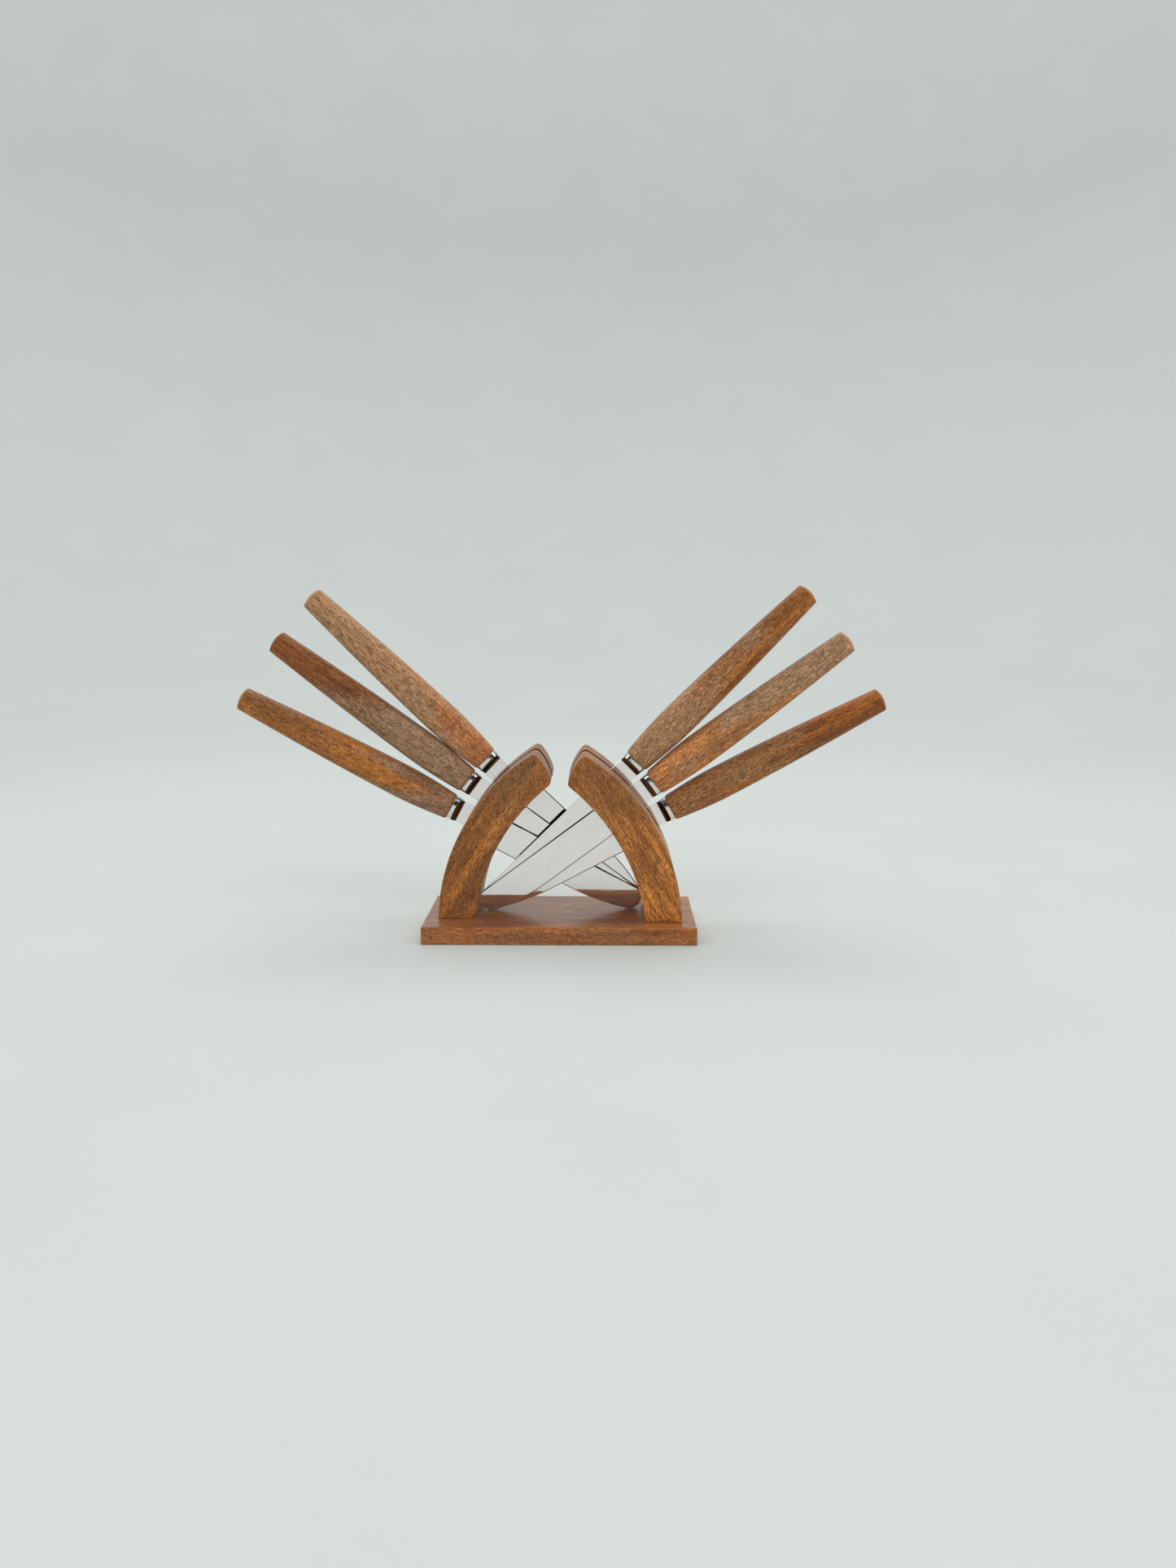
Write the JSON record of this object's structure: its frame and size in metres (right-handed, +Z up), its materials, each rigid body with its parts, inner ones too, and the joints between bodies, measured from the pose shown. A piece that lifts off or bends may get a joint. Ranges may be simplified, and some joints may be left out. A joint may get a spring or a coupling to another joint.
{
  "type": "table knife stand with knives",
  "caption": "Wooden stand with two curved slotted uprights on a board, holding wooden-handled steel table knives in two crossing fans.",
  "frame": {"origin": "middle of the base board's underside", "axes": "+X to the viewer's right along the base board, +Y towards the back, +Z up"},
  "size_m": [0.2896, 0.054, 0.1544],
  "materials": {
    "board_wood": "oiled hardwood, worn edges",
    "upright_wood": "oiled hardwood, short dark pores, greyish end faces",
    "handle_wood": "oiled hardwood, greyed in patches",
    "blade_steel": "mirror-polished stainless steel",
    "bolster_steel": "polished stainless steel",
    "screw_zinc": "zinc-plated, dull"
  },
  "bodies": {
    "stand": {"base_board": "board_wood", "left_upright": "upright_wood", "right_upright": "upright_wood", "left_screws": "screw_zinc", "right_screws": "screw_zinc"},
    "left_top_knife": {"left_top_knife_blade": "blade_steel", "left_top_knife_bolster": "bolster_steel", "left_top_knife_handle": "handle_wood"},
    "left_middle_knife": {"left_middle_knife_blade": "blade_steel", "left_middle_knife_bolster": "bolster_steel", "left_middle_knife_handle": "handle_wood"},
    "left_bottom_knife": {"left_bottom_knife_blade": "blade_steel", "left_bottom_knife_bolster": "bolster_steel", "left_bottom_knife_handle": "handle_wood"},
    "right_top_knife": {"right_top_knife_blade": "blade_steel", "right_top_knife_bolster": "bolster_steel", "right_top_knife_handle": "handle_wood"},
    "right_middle_knife": {"right_middle_knife_blade": "blade_steel", "right_middle_knife_bolster": "bolster_steel", "right_middle_knife_handle": "handle_wood"},
    "right_bottom_knife": {"right_bottom_knife_blade": "blade_steel", "right_bottom_knife_bolster": "bolster_steel", "right_bottom_knife_handle": "handle_wood"}
  },
  "joints": [
    {"name": "left_top_knife_draw", "type": "slide", "parent": "stand", "child": "left_top_knife", "axis": [-0.7169, 0, 0.6972], "range_m": [0, 0.1]},
    {"name": "left_middle_knife_draw", "type": "slide", "parent": "stand", "child": "left_middle_knife", "axis": [-0.7986, 0, 0.6018], "range_m": [0, 0.1]},
    {"name": "left_bottom_knife_draw", "type": "slide", "parent": "stand", "child": "left_bottom_knife", "axis": [-0.8771, 0, 0.4802], "range_m": [0, 0.1]},
    {"name": "right_top_knife_draw", "type": "slide", "parent": "stand", "child": "right_top_knife", "axis": [0.6704, 0, 0.742], "range_m": [0, 0.1]},
    {"name": "right_middle_knife_draw", "type": "slide", "parent": "stand", "child": "right_middle_knife", "axis": [0.7965, 0, 0.6046], "range_m": [0, 0.1]},
    {"name": "right_bottom_knife_draw", "type": "slide", "parent": "stand", "child": "right_bottom_knife", "axis": [0.8771, 0, 0.4802], "range_m": [0, 0.1]}
  ]
}
